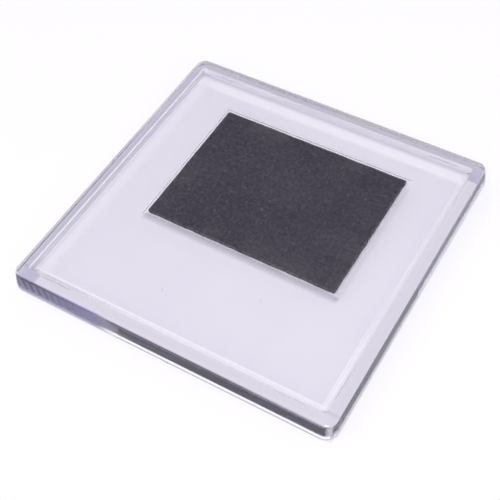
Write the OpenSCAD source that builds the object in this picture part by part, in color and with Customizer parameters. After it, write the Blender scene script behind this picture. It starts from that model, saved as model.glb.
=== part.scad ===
// A square clear photo frame that hangs on steel by a flexible magnet. It lies on its
// front face, back up: the origin is the centre of the front face, +Z points out of the
// back, and +Y is the frame's upper edge when it hangs.

/* [Front shell] */
// Width and height of the shell at its front face
frame_w = 65.6; // [58:0.2:90]
// Thickness of the shell from front face to rim
shell_t = 4; // [3.8:0.1:8]
// How far each side leans in from front to back
side_lean = 0.4; // [0.1:0.05:0.6]
// Radius of the upright corners at the front face
corner_r = 2.4; // [1.6:0.1:6]
// Rounding of the edge round the front face
front_round = 0.7; // [0.3:0.05:1]
// Rounding of the rim's outer edge at the back
back_round = 0.4; // [0.3:0.05:1]
// Thickness of the clear window in front of the picture
window_t = 1.5; // [1:0.1:2]

/* [Picture pocket] */
// Width of the rim at the back, from its outer edge to the pocket
rim_w = 2.35; // [2:0.05:5]
// Length of one bead that holds the cover in
bead_l = 6; // [3:0.5:12]
// Radius of a bead
bead_r = 0.2; // [0.12:0.02:0.3]
// How far a bead stands out of the pocket's wall
bead_proud = 0.1; // [0.04:0.01:0.12]
// Distance of a bead's near end from the pocket's corner
bead_inset = 3; // [1:0.5:8]

/* [Picture insert] */
// Thickness of the insert card
insert_t = 0.4; // [0.2:0.05:0.6]
// Clearance between the insert's edge and the pocket's wall
insert_gap = 0.35; // [0.2:0.05:0.8]
// Radius of the insert's corners
insert_r = 1.3; // [0.2:0.1:3]
// Clearance over and under the insert
stack_gap = 0.05; // [0.02:0.01:0.1]

/* [Back cover] */
// Thickness of the back cover
cover_t = 1.5; // [1.2:0.1:2]
// Clearance between the cover's edge and the pocket's wall
cover_gap = 0.15; // [0.14:0.01:0.3]
// Width and height of the bevel round the cover's outer face
cover_bevel = 0.8; // [0.3:0.05:1]

/* [Magnet and its seat] */
// Width of the magnet sheet
magnet_w = 39.2; // [20:0.1:42]
// Height of the magnet sheet
magnet_h = 29.6; // [15:0.1:34]
// Thickness of the magnet sheet
magnet_t = 0.5; // [0.4:0.1:1.5]
// Radius of the magnet sheet's corners
magnet_r = 0.4; // [0.2:0.1:2]
// How far the seat lies off centre, across
seat_x = 0.8; // [-2:0.05:2]
// How far the seat lies above the centre
seat_y = 6.6; // [-8:0.1:8]
// How far below the seat's middle the magnet was stuck
magnet_drop = 0.2; // [0:0.05:0.5]
// Bare margin of the seat round the magnet
seat_margin = 0.8; // [0.6:0.05:1.5]
// Depth of the seat in the cover
seat_deep = 0.2; // [0.1:0.05:0.4]
// Thickness of the double-sided adhesive pad
pad_t = 0.3; // [0.1:0.05:0.4]
// How far the pad stays back from the magnet's edge
pad_inset = 0.1; // [0.1:0.05:1]

/* [Hidden] */

// Overrun of every cut past the face it opens
cut_over = 0.5;
// Steps in the arc of one rounded edge
arc_steps = 8;
// Facets of a full circle
$fn = 96;

pocket_w = frame_w - 2 * side_lean - 2 * rim_w;
insert_w = pocket_w - 2 * insert_gap;
cover_w = pocket_w - 2 * cover_gap;

insert_z = window_t + stack_gap;
cover_z = insert_z + insert_t + stack_gap;
cover_top = cover_z + cover_t;
pad_z = cover_top - seat_deep;
magnet_z = pad_z + pad_t;
magnet_y = seat_y - magnet_drop;
// The beads sit over the foot of the cover's bevel
bead_z = cover_top - cover_bevel / 2;

// Half outline of the shell's side: reach is its distance out from the axis at the front
function arc_at(cx, cz, r, from, to) =
    [for (i = [0:arc_steps])
        let (a = from + (to - from) * i / arc_steps)
        [cx + r * cos(a), cz + r * sin(a)]];

function side_outline(reach) = concat(
    [[0, 0]],
    arc_at(reach - front_round, front_round, front_round, -90, 0),
    arc_at(reach - side_lean - back_round, shell_t - back_round, back_round, 0, 90),
    [[0, shell_t]]);

// A slab as long as the straight stretch of a side, with the side's outline at each end
module side_slab() {
    straight = frame_w - 2 * corner_r;
    for (side = [0, 1])
        mirror([side, 0, 0])
            rotate([90, 0, 0])
                linear_extrude(straight, center = true)
                    polygon(side_outline(frame_w / 2));
}

// A quarter round that closes one upright corner
module corner_quarter() {
    rotate_extrude(angle = 90)
        polygon(side_outline(corner_r));
}

module shell_block() {
    shift = frame_w / 2 - corner_r;
    side_slab();
    rotate(90)
        side_slab();
    for (turn = [0:90:270])
        rotate(turn)
            translate([shift, shift, 0])
                corner_quarter();
}

// Two beads along one wall of the pocket, one near each corner
module wall_beads() {
    along = pocket_w / 2 - bead_inset - bead_l / 2;
    for (side = [-1, 1])
        translate([pocket_w / 2 + bead_r - bead_proud, side * along, bead_z])
            rotate([90, 0, 0])
                cylinder(h = bead_l, r = bead_r, center = true);
}

module front_shell() {
    color([0.88, 0.87, 0.93, 0.45]) {
        difference() {
            shell_block();
            translate([-pocket_w / 2, -pocket_w / 2, window_t])
                cube([pocket_w, pocket_w, shell_t - window_t + cut_over]);
        }
        for (turn = [0:90:270])
            rotate(turn)
                wall_beads();
    }
}

// A flat plate with rounded corners, standing on z = 0
module round_plate(w, h, r, t) {
    linear_extrude(t)
        union() {
            square([w - 2 * r, h], center = true);
            square([w, h - 2 * r], center = true);
            for (x = [-1, 1], y = [-1, 1])
                translate([x * (w / 2 - r), y * (h / 2 - r)])
                    circle(r);
        }
}

module photo_insert() {
    color([0.93, 0.92, 0.95])
        translate([0, 0, insert_z])
            round_plate(insert_w, insert_w, insert_r, insert_t);
}

// A long bar with the cover's bevelled section, lying along Y
module bevelled_bar() {
    half = cover_w / 2;
    rotate([90, 0, 0])
        linear_extrude(cover_w, center = true)
            polygon([
                [-half, 0],
                [half, 0],
                [half, cover_t - cover_bevel],
                [half - cover_bevel, cover_t],
                [-half + cover_bevel, cover_t],
                [-half, cover_t - cover_bevel]]);
}

module back_cover() {
    seat_w = magnet_w + 2 * seat_margin;
    seat_h = magnet_h + 2 * seat_margin;
    color([0.86, 0.86, 0.92, 0.45])
        difference() {
            translate([0, 0, cover_z])
                intersection() {
                    bevelled_bar();
                    rotate(90)
                        bevelled_bar();
                }
            translate([seat_x - seat_w / 2, seat_y - seat_h / 2, pad_z])
                cube([seat_w, seat_h, seat_deep + cut_over]);
        }
}

module adhesive_pad() {
    color([0.9, 0.89, 0.86])
        translate([seat_x, magnet_y, pad_z])
            round_plate(magnet_w - 2 * pad_inset, magnet_h - 2 * pad_inset, magnet_r, pad_t);
}

module magnet_sheet() {
    color([0.27, 0.26, 0.3])
        translate([seat_x, magnet_y, magnet_z])
            round_plate(magnet_w, magnet_h, magnet_r, magnet_t);
}

front_shell();
photo_insert();
back_cover();
adhesive_pad();
magnet_sheet();
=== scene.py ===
import math

import bmesh
import bpy
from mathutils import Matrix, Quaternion, Vector


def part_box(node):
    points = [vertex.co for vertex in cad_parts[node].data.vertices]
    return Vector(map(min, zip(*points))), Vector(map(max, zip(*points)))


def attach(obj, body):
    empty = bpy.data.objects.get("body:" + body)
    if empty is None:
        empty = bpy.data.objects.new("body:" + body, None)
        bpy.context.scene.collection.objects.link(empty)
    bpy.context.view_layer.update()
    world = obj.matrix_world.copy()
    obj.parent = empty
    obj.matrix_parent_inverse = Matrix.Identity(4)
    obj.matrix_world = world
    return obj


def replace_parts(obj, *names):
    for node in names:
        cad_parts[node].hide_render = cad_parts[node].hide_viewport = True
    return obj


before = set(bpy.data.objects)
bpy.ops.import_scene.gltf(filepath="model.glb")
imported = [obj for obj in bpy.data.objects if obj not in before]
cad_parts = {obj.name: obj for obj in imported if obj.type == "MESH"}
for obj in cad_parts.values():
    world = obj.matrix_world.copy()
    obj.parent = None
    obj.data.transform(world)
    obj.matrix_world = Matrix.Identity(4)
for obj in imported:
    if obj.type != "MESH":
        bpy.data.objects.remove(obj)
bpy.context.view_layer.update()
mm = 0.001
samePlace = 0.001 * mm
smoothAngle = math.radians(35)


def clearSelection():
    if bpy.context.object and bpy.context.object.mode != "OBJECT":
        bpy.ops.object.mode_set(mode="OBJECT")
    bpy.ops.object.select_all(action="DESELECT")


def addBlock(name, low, high):
    clearSelection()
    bpy.ops.mesh.primitive_cube_add(size=1, location=(Vector(low) + Vector(high)) / 2)
    block = bpy.context.object
    block.name = block.data.name = name
    block.scale = Vector(high) - Vector(low)
    bpy.ops.object.transform_apply(location=True, rotation=True, scale=True)
    return block


def pick(piece, kind, wanted):
    # kind is VERT or EDGE, and wanted says yes or no to the corners of each
    bpy.ops.object.mode_set(mode="EDIT")
    bpy.ops.mesh.select_mode(type=kind)
    bpy.ops.mesh.select_all(action="DESELECT")
    mesh = bmesh.from_edit_mesh(piece.data)
    for part in mesh.verts if kind == "VERT" else mesh.edges:
        corners = [part.co] if kind == "VERT" else [v.co for v in part.verts]
        if wanted(corners):
            part.select_set(True)
    bmesh.update_edit_mesh(piece.data)


def roundEdges(piece, wanted, radius, steps):
    pick(piece, "EDGE", wanted)
    bpy.ops.mesh.bevel(offset=radius, segments=steps, profile=0.5, affect="EDGES", clamp_overlap=False)
    bpy.ops.object.mode_set(mode="OBJECT")


def carve(piece, tool, how):
    change = piece.modifiers.new("carve", "BOOLEAN")
    change.operation = how
    change.solver = "EXACT"
    change.object = tool
    clearSelection()
    bpy.context.view_layer.objects.active = piece
    piece.select_set(True)
    bpy.ops.object.modifier_apply(modifier=change.name)
    bpy.data.objects.remove(tool)


def finishPiece(piece):
    clearSelection()
    bpy.context.view_layer.objects.active = piece
    piece.select_set(True)
    bpy.ops.object.mode_set(mode="EDIT")
    bpy.ops.mesh.select_all(action="SELECT")
    bpy.ops.mesh.remove_doubles(threshold=samePlace / 10)
    bpy.ops.mesh.normals_make_consistent(inside=False)
    bpy.ops.object.mode_set(mode="OBJECT")
    bpy.ops.object.shade_smooth_by_angle(angle=smoothAngle)
    even = piece.modifiers.new("even", "WEIGHTED_NORMAL")
    even.keep_sharp = True
    bpy.ops.object.modifier_apply(modifier=even.name)


def alike(a, b):
    return abs(a - b) < samePlace


def isUpright(c):
    return alike(c[0].x, c[1].x) and alike(c[0].y, c[1].y)


class Wire:  # a shader socket that takes part in sums
    def __init__(self, tree, socket=None):
        self.tree = tree
        self.socket = socket

    def add(self, kind, settings=None, inputs=None, out=0):
        node = self.tree.nodes.new("ShaderNode" + kind)
        for name, value in (settings or {}).items():
            setattr(node, name, value)
        for name, value in (inputs or {}).items():
            if isinstance(value, Wire):
                self.tree.links.new(value.socket, node.inputs[name])
            else:
                node.inputs[name].default_value = value
        return Wire(self.tree, node.outputs[out])

    def sum(self, operation, first, second=0.0):
        return self.add("Math", {"operation": operation}, {0: first, 1: second})

    def __add__(self, other):
        return self.sum("ADD", self, other)

    def __radd__(self, other):
        return self.sum("ADD", other, self)

    def __sub__(self, other):
        return self.sum("SUBTRACT", self, other)

    def __rsub__(self, other):
        return self.sum("SUBTRACT", other, self)

    def __mul__(self, other):
        return self.sum("MULTIPLY", self, other)

    def __rmul__(self, other):
        return self.sum("MULTIPLY", other, self)

    def __neg__(self):
        return self.sum("MULTIPLY", self, -1.0)

    def __abs__(self):
        return self.sum("ABSOLUTE", self)

    def ease(self, low, high):  # 0 at low, 1 at high, with soft ends
        rising = {"Value": self, "From Min": low, "From Max": high}
        return self.add("MapRange", {"interpolation_type": "SMOOTHSTEP"}, rising)

    def scaled(self, by):  # a vector stretched along its axes
        return self.add("VectorMath", {"operation": "MULTIPLY"}, {0: self, 1: by})

    def noise(self, scale, detail=3.0, roughness=0.5, warp=0.0):
        grain = {"Vector": self, "Scale": scale, "Detail": detail}
        return self.add("TexNoise", {}, {**grain, "Roughness": roughness, "Distortion": warp})

    def along(self, axis):
        return self.add("SeparateXYZ", {}, {"Vector": self}, out=axis)

    def blend(self, first, second):  # two colours, mixed by this share
        mixed = {"Factor": self}
        for place, colour in ((6, first), (7, second)):
            mixed[place] = colour if isinstance(colour, Wire) else (*colour, 1)
        return self.add("Mix", {"data_type": "RGBA"}, mixed, out=2)


def newMaterial(name):
    material = bpy.data.materials.new(name)
    material.use_nodes = True
    material.node_tree.nodes.clear()
    return material, Wire(material.node_tree)


def plug(shader):
    out = shader.tree.nodes.new("ShaderNodeOutputMaterial")
    shader.tree.links.new(shader.socket, out.inputs["Surface"])


def dress(piece, material):
    piece.data.materials.clear()
    piece.data.materials.append(material)


# The shell is one clear moulding: window, rim, pocket and the beads that hold the cover
shell = {
    "lean": 0.4 * mm,          # each side leans in by this much, front to back
    "cornerRadius": 2.4 * mm,
    "cornerSteps": 14,
    "frontRound": 0.7 * mm,
    "backRound": 0.4 * mm,
    "roundSteps": 8,
    "window": 1.5 * mm,
    "rim": 2.35 * mm,
    "wallCorner": 0.2 * mm,    # small radii that the mould leaves in the pocket
    "mouthRound": 0.05 * mm,
    "floorRound": 0.12 * mm,
    "wallSteps": 4,
    "floorSteps": 3,
    "beadLength": 6 * mm,
    "beadRadius": 0.2 * mm,
    "beadProud": 0.1 * mm,
    "beadInset": 3 * mm,
    "beadSides": 32,
    "gateWidth": 0.9 * mm,     # the stub that the gate leaves on the lower side
    "gateDepth": 0.1 * mm,
    "gateHeight": 0.3 * mm,
    "gatePlace": 1.0 * mm,
    "gateSides": 20,
}


def pocketHalf():
    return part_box("front_shell")[1].x - shell["lean"] - shell["rim"]


def buildShell():
    low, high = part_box("front_shell")
    top = high.z
    half = high.x
    radius = shell["cornerRadius"]
    piece = addBlock("shell_moulding", low, high)
    roundEdges(piece, isUpright, radius, shell["cornerSteps"])
    # Each corner is drawn in or out about its own centre, so the sides lean evenly and are
    # widest where the front rounding ends
    tilt = math.atan(shell["lean"] / (top - shell["frontRound"] - shell["backRound"] / 2))
    reach = {
        low.z: shell["frontRound"] * (1 - math.tan(math.pi / 4 - tilt / 2)),
        top: -shell["lean"] - shell["backRound"] * math.sin(tilt),
    }
    for height, out in reach.items():
        for sx in (-1, 1):
            for sy in (-1, 1):
                pick(piece, "VERT", lambda c: alike(c[0].z, height) and c[0].x * sx > 0 and c[0].y * sy > 0)
                centre = ((half - radius) * sx, (half - radius) * sy, height)
                share = 1 + out / radius
                bpy.ops.transform.resize(value=(share, share, 1), center_override=centre)
    bpy.ops.object.mode_set(mode="OBJECT")
    roundEdges(piece, lambda c: all(alike(v.z, low.z) for v in c), shell["frontRound"], shell["roundSteps"])
    roundEdges(piece, lambda c: all(alike(v.z, top) for v in c), shell["backRound"], shell["roundSteps"])
    carve(piece, addGate(half), "UNION")

    pocket = pocketHalf()
    over = shell["rim"]
    tool = addBlock("pocketTool", (-pocket, -pocket, shell["window"]), (pocket, pocket, top + over))
    carve(piece, tool, "DIFFERENCE")
    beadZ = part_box("back_cover")[1].z - cover["bevel"] / 2
    carve(piece, addBeads(pocket, beadZ), "UNION")

    def mouth(c):
        return all(alike(v.z, top) and max(abs(v.x), abs(v.y)) < pocket + samePlace for v in c)

    def upright(c):
        return all(alike(abs(v.x), pocket) and alike(abs(v.y), pocket) for v in c)

    def foot(c):
        return all(alike(v.z, shell["window"]) and alike(max(abs(v.x), abs(v.y)), pocket) for v in c)

    roundEdges(piece, upright, shell["wallCorner"], shell["wallSteps"])
    roundEdges(piece, mouth, shell["mouthRound"], shell["wallSteps"])
    roundEdges(piece, foot, shell["floorRound"], shell["floorSteps"])
    finishPiece(piece)
    return piece


def addGate(half):
    depth = shell["gateDepth"]
    place = (shell["gatePlace"], depth - half, shell["gateHeight"])
    clearSelection()
    around = shell["gateSides"]
    bpy.ops.mesh.primitive_uv_sphere_add(segments=around, ring_count=around // 2, radius=1, location=place)
    bpy.context.object.scale = (shell["gateWidth"] / 2, depth, shell["gateHeight"] / 2)
    bpy.ops.object.transform_apply(location=True, rotation=True, scale=True)
    return bpy.context.object


def addBeads(wall, height):
    # Two beads on each wall of the pocket, one near each corner, made as one tool
    along = wall - shell["beadInset"] - shell["beadLength"] / 2
    out = wall + shell["beadRadius"] - shell["beadProud"]
    made = []
    for turn in range(4):
        angle = math.pi / 2 * turn
        across, up = math.cos(angle), math.sin(angle)
        for side in (-1, 1):
            clearSelection()
            bpy.ops.mesh.primitive_cylinder_add(
                vertices=shell["beadSides"],
                radius=shell["beadRadius"],
                depth=shell["beadLength"],
                location=(out * across - side * along * up, out * up + side * along * across, height),
                rotation=(math.pi / 2, 0, angle),
            )
            made.append(bpy.context.object)
    clearSelection()
    for bead in made:
        bead.select_set(True)
    bpy.context.view_layer.objects.active = made[0]
    bpy.ops.object.join()
    bpy.ops.object.transform_apply(location=True, rotation=True, scale=True)
    return bpy.context.object


cover = {
    "bevel": 0.8 * mm,
    "seatMargin": 0.8 * mm,
    "seatRise": 0.2 * mm,      # the magnet was stuck this far below the seat's middle
    "seatDepth": 0.2 * mm,
    "edgeRound": 0.07 * mm,
    "edgeSteps": 3,
    "edgeAngle": math.radians(30),
}


def buildCover():
    low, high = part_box("back_cover")
    piece = addBlock("cover_moulding", low, high)
    roundEdges(piece, lambda c: all(alike(v.z, high.z) for v in c), cover["bevel"], 1)
    magnetLow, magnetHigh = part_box("magnet_sheet")
    margin = Vector((cover["seatMargin"], cover["seatMargin"], 0))
    rise = Vector((0, cover["seatRise"], 0))
    seatLow, seatHigh = magnetLow - margin + rise, magnetHigh + margin + rise
    seatLow.z = high.z - cover["seatDepth"]
    carve(piece, addBlock("seatTool", seatLow, seatHigh), "DIFFERENCE")
    soft = piece.modifiers.new("soft", "BEVEL")
    soft.width = cover["edgeRound"]
    soft.segments = cover["edgeSteps"]
    soft.limit_method = "ANGLE"
    soft.angle_limit = cover["edgeAngle"]
    bpy.ops.object.modifier_apply(modifier=soft.name)
    finishPiece(piece)
    return piece


# The magnet is cut from a sheet with a blade, so its edges wander a little
magnet = {
    "cornerRadius": 0.4 * mm,
    "cornerSteps": 5,
    "edgeRound": 0.08 * mm,
    "edgeSteps": 3,
    "cutLength": 0.7 * mm,     # spacing of the points that let an edge wander
    "wander": 0.2 * mm,
    "wanderLength": 2.4 * mm,
}


def buildMagnet():
    low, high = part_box("magnet_sheet")
    piece = addBlock("magnet_cut_sheet", low, high)
    roundEdges(piece, isUpright, magnet["cornerRadius"], magnet["cornerSteps"])
    roundEdges(piece, lambda c: alike(c[0].z, c[1].z), magnet["edgeRound"], magnet["edgeSteps"])
    bpy.ops.object.mode_set(mode="EDIT")
    for axis in (0, 1):
        across = Vector((axis == 0, axis == 1, 0))
        length = high[axis] - low[axis]
        count = round(length / magnet["cutLength"])
        for cut in range(1, count):
            bpy.ops.mesh.select_all(action="SELECT")
            bpy.ops.mesh.bisect(plane_co=low + across * length * cut / count, plane_no=across)
    bpy.ops.object.mode_set(mode="OBJECT")
    cloud = bpy.data.textures.new("bladeWander", "CLOUDS")
    cloud.noise_scale = magnet["wanderLength"]
    for axis in ("X", "Y"):
        wander = piece.modifiers.new("wander", "DISPLACE")
        wander.texture = cloud
        wander.texture_coords = "LOCAL"
        wander.direction = axis
        wander.strength = magnet["wander"]
        wander.mid_level = 0.5
        bpy.ops.object.modifier_apply(modifier=wander.name)
    finishPiece(piece)
    return piece


# In the materials, a pair of lengths says where a mark starts and where it is full
plastic = {
    "tint": (0.975, 0.97, 0.985),
    "ior": 1.58,
    "polish": 0.008,
    "haze": 0.02,
    "hazeScale": 90.0,
    "relief": 0.006 * mm,            # depth of the flow lines and swirls left by moulding
    "flowScale": 1300.0,
    "flowStretch": (0.05, 0.05, 1),
    "flowShare": 0.5,
    "swirlScale": 150.0,
    "shellShade": (0.72, 0.70, 0.79),  # what is left of the light that passes one face
    "coverShade": (0.96, 0.96, 0.97),
}


def fromSide(place, depth):
    # place is x, y, -x or -y, and depth is a pair, measured in from the shell's outside
    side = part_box("front_shell")[1].x
    return place.ease(side - depth[0], side - depth[1])


dust = {
    "tint": (0.2, 0.19, 0.2),
    "strength": 0.55,
    "scale": 300.0,
    "size": (0.06, 0.03),
    "draw": (0.80, 0.82),            # about one cell in five holds a speck
}


def dustSpecks(spot):
    cell = {"Vector": spot.scaled((1, 1, 0)), "Scale": dust["scale"]}
    near = spot.add("TexVoronoi", {}, cell, out="Distance")
    draw = spot.add("TexVoronoi", {}, cell, out="Color").along("X")
    return near.ease(*dust["size"]) * draw.ease(*dust["draw"]) * dust["strength"]


# Painted shade: the lower and right sides, which light crosses the long way, are tinted darker than the
# rest
sides = {
    "dark": (0.032, 0.026, 0.062),
    "lower": (0.85 * mm, 0.6 * mm),          # in from the shell's outside
    "right": (0.7 * mm, 0.5 * mm),
    "rightFoot": (1.9 * mm, 2.2 * mm),       # up from the front face
    "rightHead": (0.2 * mm, 0.5 * mm),       # down from the top of the rim
    "darkShare": 0.8,
    "darkFoot": (1.4 * mm, 2.3 * mm),
    "darkHead": (0, 0.15 * mm),
    "highShare": 0.15,                       # darker still, just under the rim
    "highFoot": (2.9 * mm, 3.5 * mm),
    "weakShare": 0.25,                       # and less dark towards the lower right corner
    "weakFrom": (12 * mm, 24 * mm),
    # painted shade, turning violet near the lower left corner
    "violet": (0.22, 0.21, 0.47),            # near the lower left corner the dark turns violet
    "violetFrom": (-10 * mm, -14 * mm),
    "violetOnly": (-30 * mm, -14 * mm),
    # painted shade on the cover's bevel
    "bevel": (0.80, 0.79, 0.81),             # the cover's bevel at the lower side
    "bevelReach": (0.65 * mm, 0.5 * mm),     # in from the cover's edge
    "bevelEnd": (-0.07 * mm, -0.03 * mm),
    "bevelFoot": (0.3 * mm, 0.5 * mm),       # up from the cover's inner face
    # painted shade, greyer, on the far rim
    "far": (0.87, 0.87, 0.76),               # the rim at the far side is a little greyer
    "farFrom": (0.25 * mm, 0.75 * mm),       # out from the pocket's wall
    "farHead": (0.5 * mm, 0.3 * mm),
}


def paintSideShade(tint, x, y, z, down):
    lower = fromSide(-y, sides["lower"])
    right = fromSide(x, sides["right"]) * z.ease(*sides["rightFoot"]) * down.ease(*sides["rightHead"])
    violet = lower * x.ease(*sides["violetFrom"])
    level = (1 - violet * x.ease(*sides["violetOnly"])) * sides["darkShare"]
    level = level - x.ease(*sides["weakFrom"]) * sides["weakShare"]
    level = z.ease(*sides["darkFoot"]) * level + z.ease(*sides["highFoot"]) * sides["highShare"]
    dark = lower * level * down.ease(*sides["darkHead"])
    low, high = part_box("back_cover")
    inward = y + high.y
    bevel = inward.ease(*sides["bevelReach"]) * inward.ease(*sides["bevelEnd"])
    bevel = bevel * (z - low.z).ease(*sides["bevelFoot"])
    far = (y - pocketHalf()).ease(*sides["farFrom"]) * down.ease(*sides["farHead"])
    tint = violet.blend(tint, sides["violet"])
    tint = tint.sum("MAXIMUM", dark, right).blend(tint, sides["dark"])
    tint = bevel.blend(tint, sides["bevel"])
    return far.blend(tint, sides["far"])


# The mould's tool marks show on the lower side, towards its left end, as ripples in the surface and as
# painted stripes of shade and light
toolMarks = {
    "step": 1.55 * mm,
    "slant": 0.4,
    "depth": 0.03 * mm,
    "deepFrom": (-12 * mm, -30 * mm),
    "wornFrom": (-12 * mm, -28 * mm),
    "wornFoot": (0, 0.2 * mm),               # up from the window's inner face
    "wornHead": (0.2 * mm, 0.5 * mm),
    # the painted stripes' shade and light
    "dark": (0.02, 0.02, 0.03),
    "pale": (0.28, 0.27, 0.38),
    "paint": 0.5,
    "paintFoot": (-0.05 * mm, 0),
}

# Matt white paint, as painted highlights: the parting line on the lower and right sides, the foot of
# the far side, the left wall of the pocket, and the outer edge of the rim on the left and the far side
mattPaintedLight = {
    "paint": (0.97, 0.965, 0.98),
    "roughness": 0.5,
    "lineHeight": 1.45 * mm,
    "lineWidth": 0.75 * mm,
    "lineFade": 0.05 * mm,
    "lineRight": 0.6,
    "lineSide": (0.5 * mm, 0.4 * mm),        # in from the shell's outside
    "lineStopShare": 0.85,                        # the painted highlight line stops over the tool marks
    "lineStopFoot": (0.5 * mm, 1.1 * mm),
    "footLow": (0.35 * mm, 0.4 * mm),
    "footHigh": (0.85 * mm, 0.8 * mm),
    "wallHaze": 0.45,
    "wallPaint": 0.7,
    "wallReach": (0.3 * mm, 0.2 * mm),       # either side of the wall
    "wallEnds": (0.05 * mm, 0.35 * mm),      # in from the pocket's corners
    "rimPaint": 0.32,
    "rimLeft": (1.3 * mm, 1.1 * mm),
    "rimHead": (0.5 * mm, 0.3 * mm),
    "rimFar": 1.5 * mm,                      # the middle of the far line, in from the outside
    "rimFarWidth": (0.35 * mm, 0.1 * mm),
    "rimFarShare": 0.6,
}


def pocketWall(x, y):
    reach = abs(x + pocketHalf()).ease(*mattPaintedLight["wallReach"])
    return reach * (pocketHalf() - abs(y)).ease(*mattPaintedLight["wallEnds"])


def paintedLightMarks(x, y, z, down):
    lower = fromSide(-y, sides["lower"])
    violet = lower * x.ease(*sides["violetFrom"])
    half = mattPaintedLight["lineWidth"] / 2
    band = abs(z - mattPaintedLight["lineHeight"] + half).ease(half + mattPaintedLight["lineFade"], half - mattPaintedLight["lineFade"])
    lineStopped = violet * z.ease(*mattPaintedLight["lineStopFoot"]) * mattPaintedLight["lineStopShare"]
    right = fromSide(x, mattPaintedLight["lineSide"]) * mattPaintedLight["lineRight"]
    line = band * x.sum("MAXIMUM", right, lower * (1 - lineStopped))
    foot = fromSide(y, mattPaintedLight["lineSide"]) * z.ease(*mattPaintedLight["footHigh"]) * z.ease(*mattPaintedLight["footLow"])
    # the tool marks' matt band, which holds the painted stripes of shade and light
    worn = lower * x.ease(*toolMarks["wornFrom"]) * (z - shell["window"]).ease(*toolMarks["wornFoot"])
    worn = worn * down.ease(*toolMarks["wornHead"])
    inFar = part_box("front_shell")[1].y - y
    farLine = abs(inFar - mattPaintedLight["rimFar"]).ease(*mattPaintedLight["rimFarWidth"]) * mattPaintedLight["rimFarShare"]
    outer = (fromSide(-x, mattPaintedLight["rimLeft"]) + farLine) * down.ease(*mattPaintedLight["rimHead"])
    wall = pocketWall(x, y) * mattPaintedLight["wallPaint"]
    return line + foot + worn * toolMarks["paint"] + wall + outer * mattPaintedLight["rimPaint"]


def makePlastic(name, shade):
    # Rays for shadows and soft light pass straight through, dimmed by the shade
    material, start = newMaterial(name)
    spot = start.add("TexCoord", out="Object")
    x, y, z = (spot.along(axis) for axis in ("X", "Y", "Z"))
    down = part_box("front_shell")[1].z - z
    lower = fromSide(-y, sides["lower"])

    flow = spot.scaled(plastic["flowStretch"]).noise(plastic["flowScale"], 1.0)
    swirl = spot.noise(plastic["swirlScale"], 1.0)
    wave = start.sum("SINE", (x + z * toolMarks["slant"]) * (2 * math.pi / toolMarks["step"]))
    ripple = lower * x.ease(*toolMarks["deepFrom"]) * wave
    rippleShare = toolMarks["depth"] / plastic["relief"] / 2
    height = flow * plastic["flowShare"] + swirl + ripple * rippleShare
    relief = {"Height": height, "Distance": plastic["relief"], "Strength": 1.0}
    haze = spot.noise(plastic["hazeScale"]) * plastic["haze"] + pocketWall(x, y) * mattPaintedLight["wallHaze"]

    # the clear body's tint carries the painted shade of the sides
    clear = start.add("BsdfPrincipled", {}, {
        "Base Color": paintSideShade(dustSpecks(spot).blend(plastic["tint"], dust["tint"]), x, y, z, down),
        "Roughness": haze + plastic["polish"],
        "IOR": plastic["ior"],
        "Transmission Weight": 1.0,
        "Normal": start.add("Bump", {}, relief),
    })
    # painted dark and pale stripes on the tool marks, standing in for their shade and light
    paintedStripes = (wave * 0.5 + 0.5).blend(toolMarks["dark"], toolMarks["pale"])
    paintedStripeMask = lower * (z - shell["window"]).ease(*toolMarks["paintFoot"])
    # matt white paint for the painted highlights and the tool marks' painted stripes
    pale = start.add("BsdfPrincipled", {}, {
        "Base Color": paintedStripeMask.blend(mattPaintedLight["paint"], paintedStripes),
        "Roughness": mattPaintedLight["roughness"],
    })
    body = start.add("MixShader", {}, {0: paintedLightMarks(x, y, z, down), 1: clear, 2: pale})
    through = start.add("BsdfTransparent", {}, {"Color": (*shade, 1)})
    isShadow = start.add("LightPath", out="Is Shadow Ray")
    isSoft = start.add("LightPath", out="Is Diffuse Ray")
    mixed = start.add("MixShader", {}, {0: isShadow, 1: body, 2: through})
    plug(start.add("MixShader", {}, {0: isSoft, 1: mixed, 2: through}))
    return material


# The card is blank. Its paler and darker lines are painted light and shade, where the cover's bevel throws
# light on it or takes it away, and all but the seat's painted shadow are measured in from the card's edges
card = {
    "dark": (0.845, 0.82, 0.865),
    "pale": (0.885, 0.86, 0.90),
    "fibreScale": 2500.0,
    "cloudScale": 60.0,
    "fibreShare": 0.6,
    "grainFade": (0.3, 0.7),
    "relief": 0.01 * mm,
    "gleam": (0.99, 0.985, 0.995),
    "farGleam": (3.8 * mm, 2.6 * mm),
    "farGleamEnd": (0.8 * mm, 1.4 * mm),
    "leftGleam": (3.5 * mm, 1.0 * mm),
    "leftGleamEnd": (0.4 * mm, 0.7 * mm),
    "nearLine": 1.25 * mm,
    "nearLineEnd": (0.8 * mm, 1.0 * mm),
    "rightLine": 1.05 * mm,
    "rightLineFrom": (-2 * mm, -20 * mm),
    "lineFade": (0.32 * mm, 0.1 * mm),
    "sideShare": 0.7,
    "shade": (0.71, 0.68, 0.75),
    "farShade": (0.9 * mm, 0.35 * mm),
    "farShadeEnd": (0.05 * mm, 0.2 * mm),
    "nearShade": (1.0 * mm, 0.8 * mm),
    "nearShadeShare": 0.8,
    "paintedSeatShadow": (0.50, 0.48, 0.54),         # painted shadow of the magnet, below and beside the seat
    "seatReach": 1.6 * mm,
    "seatFade": 1.2 * mm,
    "seatStart": 0.4 * mm,
    "seatUnder": 0.1 * mm,
    "seatUnderEnd": (0.45 * mm, 0.25 * mm),
    "seatTop": 1 * mm,
    "besideShare": 0.3,
}


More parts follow.
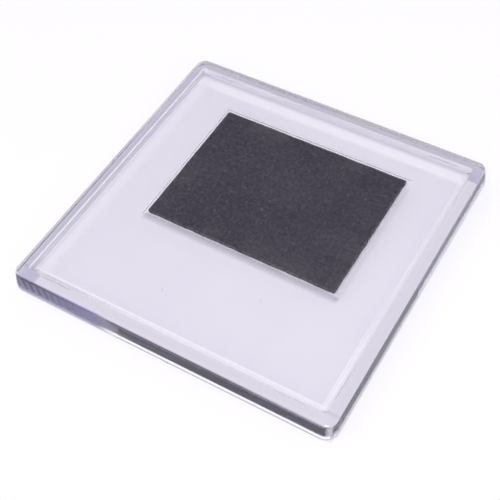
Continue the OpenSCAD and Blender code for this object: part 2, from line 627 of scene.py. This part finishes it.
def paintedBevelLight(x, y):
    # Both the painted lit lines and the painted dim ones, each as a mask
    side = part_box("photo_insert")[1].x
    inFar, inNear, inLeft, inRight = side - y, side + y, side + x, side - x
    far = inFar.ease(*card["farGleam"]) * inFar.ease(*card["farGleamEnd"])
    left = inLeft.ease(*card["leftGleam"]) * inLeft.ease(*card["leftGleamEnd"]) * card["sideShare"]
    near = abs(inNear - card["nearLine"]).ease(*card["lineFade"]) * inRight.ease(*card["nearLineEnd"])
    right = abs(inRight - card["rightLine"]).ease(*card["lineFade"]) * y.ease(*card["rightLineFrom"])
    lit = x.sum("MAXIMUM", x.sum("MAXIMUM", far, left), x.sum("MAXIMUM", near, right * card["sideShare"]))
    dim = inFar.ease(*card["farShade"]) * inFar.ease(*card["farShadeEnd"])
    return lit, x.sum("MAXIMUM", dim, inNear.ease(*card["nearShade"]) * card["nearShadeShare"])


def paintedMagnetShadow(x, y):
    low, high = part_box("magnet_sheet")
    reach, fade, begin = card["seatReach"], card["seatFade"], card["seatStart"]
    end, full = card["seatUnderEnd"]
    under = y.ease(low.y - reach, low.y + card["seatUnder"]) * y.ease(low.y + end, low.y + full)
    under = under * x.ease(low.x - fade, low.x - begin) * x.ease(high.x + fade, high.x + begin)
    beside = x.ease(high.x + reach, high.x + begin) * x.ease(high.x - begin, high.x)
    beside = beside * y.ease(low.y - fade, low.y) * y.ease(high.y, high.y - card["seatTop"])
    return x.sum("MAXIMUM", under, beside * card["besideShare"])


def makeCard():
    material, start = newMaterial("card_stock")
    spot = start.add("TexCoord", out="Object")
    x, y = spot.along("X"), spot.along("Y")
    fibre = spot.noise(card["fibreScale"], 4.0)
    cloud = spot.noise(card["cloudScale"], 2.0)
    grain = fibre * card["fibreShare"] + cloud * (1 - card["fibreShare"])
    lit, dim = paintedBevelLight(x, y)
    colour = grain.ease(*card["grainFade"]).blend(card["dark"], card["pale"])
    # painted light and shade from the cover's bevel, then the magnet's painted shadow
    colour = dim.blend(lit.blend(colour, card["gleam"]), card["shade"])
    colour = paintedMagnetShadow(x, y).blend(colour, card["paintedSeatShadow"])
    bump = start.add("Bump", {}, {"Height": fibre, "Distance": card["relief"], "Strength": 0.6})
    plug(start.add("BsdfPrincipled", {}, {"Base Color": colour, "Roughness": 0.7, "Normal": bump}))
    return material


rubber = {
    "dark": (0.036, 0.032, 0.045),
    "pale": (0.060, 0.055, 0.073),
    "mottleScale": 1500.0,
    "smudgeScale": 120.0,
    "mottleShare": 0.7,
    "mottleFade": (0.35, 0.68),
    "hair": (0.22, 0.21, 0.23),              # short pale fibres that lie both ways
    "hairShare": 0.3,
    "hairStretch": 0.2,
    "hairScales": (4400.0, 4000.0),
    "hairWarps": (1.2, 1.4),
    "hairFades": ((0.59, 0.74), (0.60, 0.75)),
    "dust": (0.11, 0.10, 0.095),
    "dustShare": 0.2,
    "dustReach": (-5 * mm, -0.5 * mm),       # in from the cut edges
    "dustFade": (0.45, 0.65),
    "worn": (0.15, 0.14, 0.16),
    "wornShare": 0.6,
    "wornWidth": (-0.4 * mm, -0.125 * mm),   # in from the cut edges too
    "wornFade": (0.35, 0.6),
    "relief": 0.03 * mm,
    "hairHeight": 0.4,
    "roughness": 0.5,
    "smudgeHaze": 0.2,
}


def makeMagnet():
    material, start = newMaterial("magnet_rubber")
    low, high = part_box("magnet_sheet")
    middle = (low + high) / 2
    spot = start.add("TexCoord", out="Object")
    mottle = spot.noise(rubber["mottleScale"], 4.0, 0.6)
    smudge = spot.noise(rubber["smudgeScale"], 3.0)
    stretch = rubber["hairStretch"]
    hairs = []
    for way, by in enumerate(((1, stretch, 1), (stretch, 1, 1))):
        fibres = spot.scaled(by).noise(rubber["hairScales"][way], 2.0, 0.5, rubber["hairWarps"][way])
        hairs.append(fibres.ease(*rubber["hairFades"][way]))
    hair = hairs[0] + hairs[1]
    base = mottle * rubber["mottleShare"] + smudge * (1 - rubber["mottleShare"])
    base = base.ease(*rubber["mottleFade"]).blend(rubber["dark"], rubber["pale"])
    haired = (hair * rubber["hairShare"]).blend(base, rubber["hair"])
    inX = abs(spot.along("X") - middle.x) - (high.x - middle.x)
    inY = abs(spot.along("Y") - middle.y) - (high.y - middle.y)
    edge = start.sum("MAXIMUM", inX, inY)
    dusty = edge.ease(*rubber["dustReach"]) * smudge.ease(*rubber["dustFade"])
    haired = (dusty * rubber["dustShare"]).blend(haired, rubber["dust"])
    worn = edge.ease(*rubber["wornWidth"]) * mottle.ease(*rubber["wornFade"])
    colour = (worn * rubber["wornShare"]).blend(haired, rubber["worn"])
    height = mottle + hair * rubber["hairHeight"]
    bump = start.add("Bump", {}, {"Height": height, "Distance": rubber["relief"], "Strength": 0.7})
    plug(start.add("BsdfPrincipled", {}, {
        "Base Color": colour,
        "Roughness": smudge * rubber["smudgeHaze"] + rubber["roughness"],
        "Specular IOR Level": 0.2,
        "Normal": bump,
    }))
    return material


tape = {
    "dark": (0.78, 0.77, 0.75),
    "pale": (0.86, 0.85, 0.83),
    "scale": 900.0,
    "grainFade": (0.3, 0.7),
    "relief": 0.02 * mm,
}


def makeTape():
    material, start = newMaterial("tape_white")
    spot = start.add("TexCoord", out="Object")
    grain = spot.noise(tape["scale"])
    colour = grain.ease(*tape["grainFade"]).blend(tape["dark"], tape["pale"])
    bump = start.add("Bump", {}, {"Height": grain, "Distance": tape["relief"], "Strength": 0.5})
    plug(start.add("BsdfPrincipled", {}, {"Base Color": colour, "Roughness": 0.5, "Normal": bump}))
    return material


print("modelling the shell")
shellPiece = buildShell()
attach(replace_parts(shellPiece, "front_shell"), "shell")

print("modelling the cover")
coverPiece = buildCover()
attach(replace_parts(coverPiece, "back_cover"), "cover")

print("modelling the magnet")
magnetPiece = buildMagnet()
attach(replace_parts(magnetPiece, "magnet_sheet"), "cover")

print("making the materials")
dress(shellPiece, makePlastic("shell_clear", plastic["shellShade"]))
dress(coverPiece, makePlastic("cover_clear", plastic["coverShade"]))
dress(magnetPiece, makeMagnet())
dress(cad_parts["photo_insert"], makeCard())
dress(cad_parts["adhesive_pad"], makeTape())

# The photograph's light: a soft lamp behind the camera, a pale sky, and panels that the
# clear sides show. A panel's place is given as it hangs at a height of 1 over the frame
studio = {
    "sky": (0.76, 0.745, 0.78),
    "horizon": (0.13, 0.11, 0.19),
    "horizonFade": (2.6, 3.8),
    "panels": [
        {"colour": (0.54, 0.51, 0.61), "x": (-0.75, 0.75), "y": (-0.8, 0.8), "soft": 0.1},
        {"colour": (0.35, 0.33, 0.42), "x": (-0.75, 0.4), "y": (-1.7, -0.8), "soft": 0.1},
        {"colour": (0.02, 0.01, 0.10), "x": (0.30, 2.2), "y": (-0.1, 1.4), "soft": 0.1},
        {"colour": (0.01, 0.005, 0.03), "x": (-0.75, 0.2), "y": (0.0, 1.1), "soft": 0.04},
    ],
    "lampPlace": Vector((0.18, -0.32, 1.15)),
    "lampSize": 0.44,
    "lampPower": 11.0,
    "floorSize": 3.0,
    "floorDrop": 0.06 * mm,
    "paper": (0.93, 0.93, 0.935),
    "paperGlow": 0.15,         # share of plain white that is seen in the paper
    "whiteFrom": (150 * mm, 450 * mm),   # and far out it is all plain white
    # painted glow on the paper near the window's edge
    "paintedWindowGlow": 0.85,        # the same near the window's edge, where light gets under it
    "paintedWindowLight": (0.86, 0.825, 0.92),
    # painted shade: the paper under the window's middle glows black
    "paintedShadeDepth": 23 * mm,      # nearer to the middle than this the paper is dark
    "glowFade": 1 * mm,
    "glowReach": (-1.2 * mm, 2.6 * mm),   # how far the light reaches past the card, far and near
    "glowEdge": 0.4 * mm,
    "skyFoot": 0.05,           # the panels' pattern goes no lower than this
}

# The camera stands where the photograph was taken from, above the near right corner
camera = {
    "place": Vector((64.03, -101.68, 148.69)) * mm,
    "aim": Vector((2.70, -7.26, 4.0)) * mm,
    "roll": math.radians(-3.38),
    "lens": 73.14,
}


def makeFloor():
    clearSelection()
    bpy.ops.mesh.primitive_plane_add(size=studio["floorSize"], location=(0, 0, -studio["floorDrop"]))
    floor = bpy.context.object
    floor.name = "floor"
    paint, start = newMaterial("floor_paper")
    spot = start.add("TexCoord", out="Object")
    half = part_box("photo_insert")[1].x
    far, near = studio["glowReach"]
    x, y = spot.along("X"), spot.along("Y")
    past = start.sum("MAXIMUM", start.sum("MAXIMUM", -x, y) - far, start.sum("MAXIMUM", x, -y) - near)
    inside = past.ease(half + studio["glowEdge"], half)
    depth = start.sum("MAXIMUM", abs(x), abs(y))
    fade = studio["glowFade"]
    rim = depth.ease(studio["paintedShadeDepth"] - fade, studio["paintedShadeDepth"] + fade)
    glow = inside * (studio["paintedWindowGlow"] - studio["paperGlow"]) + studio["paperGlow"]
    glow = start.sum("MAXIMUM", glow, depth.ease(*studio["whiteFrom"]))
    seen = start.add("LightPath", out="Is Camera Ray") + start.add("LightPath", out="Is Glossy Ray")
    seen = start.sum("MINIMUM", seen + start.add("LightPath", out="Is Transmission Ray"), 1.0)
    matte = start.add("BsdfPrincipled", {}, {
        "Base Color": (*studio["paper"], 1), "Roughness": 0.9, "Specular IOR Level": 0.1,
    })
    # painted glow under the window's edge, and painted shade under its middle
    light = rim.blend((0, 0, 0), inside.blend((1, 1, 1), studio["paintedWindowLight"]))
    white = start.add("Emission", {}, {"Color": light, "Strength": 1.0})
    plug(start.add("MixShader", {}, {0: seen * glow, 1: matte, 2: white}))
    dress(floor, paint)


def makeWorld():
    world = bpy.data.worlds.new("studio")
    bpy.context.scene.world = world
    world.use_nodes = True
    world.node_tree.nodes.clear()
    start = Wire(world.node_tree)
    way = start.add("TexCoord", out="Generated")
    height = start.sum("MAXIMUM", way.along("Z"), studio["skyFoot"])
    x, y = (start.sum("DIVIDE", way.along(axis), height) for axis in ("X", "Y"))
    out = start.sum("SQRT", x * x + y * y)
    sky = out.ease(*studio["horizonFade"]).blend(studio["sky"], studio["horizon"])
    for panel in studio["panels"]:
        (left, right), (near, far), soft = panel["x"], panel["y"], panel["soft"]
        across = x.ease(left - soft, left + soft) * x.ease(right + soft, right - soft)
        along = y.ease(near - soft, near + soft) * y.ease(far + soft, far - soft)
        sky = (across * along).blend(sky, panel["colour"])
    # The camera itself sees plain white past the floor
    sky = start.add("LightPath", out="Is Camera Ray").blend(sky, (1, 1, 1))
    glow = start.add("Background", {}, {"Color": sky, "Strength": 1.0})
    end = world.node_tree.nodes.new("ShaderNodeOutputWorld")
    world.node_tree.links.new(glow.socket, end.inputs["Surface"])


def makeLamp():
    lamp = bpy.data.lights.new("softbox", "AREA")
    lamp.shape = "SQUARE"
    lamp.size = studio["lampSize"]
    lamp.energy = studio["lampPower"]
    stand = bpy.data.objects.new("softbox", lamp)
    bpy.context.scene.collection.objects.link(stand)
    stand.location = studio["lampPlace"]
    stand.rotation_mode = "QUATERNION"
    stand.rotation_quaternion = (-studio["lampPlace"]).to_track_quat("-Z", "Y")
    stand.visible_transmission = False


def makeCamera():
    eye = bpy.data.cameras.new("camera")
    eye.lens = camera["lens"]
    eye.sensor_width = 36
    eye.clip_start = 5 * mm
    eye.clip_end = 20
    stand = bpy.data.objects.new("camera", eye)
    bpy.context.scene.collection.objects.link(stand)
    stand.location = camera["place"]
    stand.rotation_mode = "QUATERNION"
    look = (camera["aim"] - camera["place"]).to_track_quat("-Z", "Y")
    stand.rotation_quaternion = look @ Quaternion((0, 0, 1), camera["roll"])
    bpy.context.scene.camera = stand


print("setting the studio")
makeFloor()
makeWorld()
makeLamp()
makeCamera()
scene = bpy.context.scene
scene.view_settings.view_transform = "Standard"
# Without the normals, the denoiser leaves no grain in the clear plastic
scene.cycles.denoising_input_passes = "RGB_ALBEDO"
# Light runs round inside the clear window, so it needs many bounces
scene.cycles.max_bounces = 100
scene.cycles.glossy_bounces = 100
scene.cycles.transmission_bounces = 100
scene.cycles.transparent_max_bounces = 16
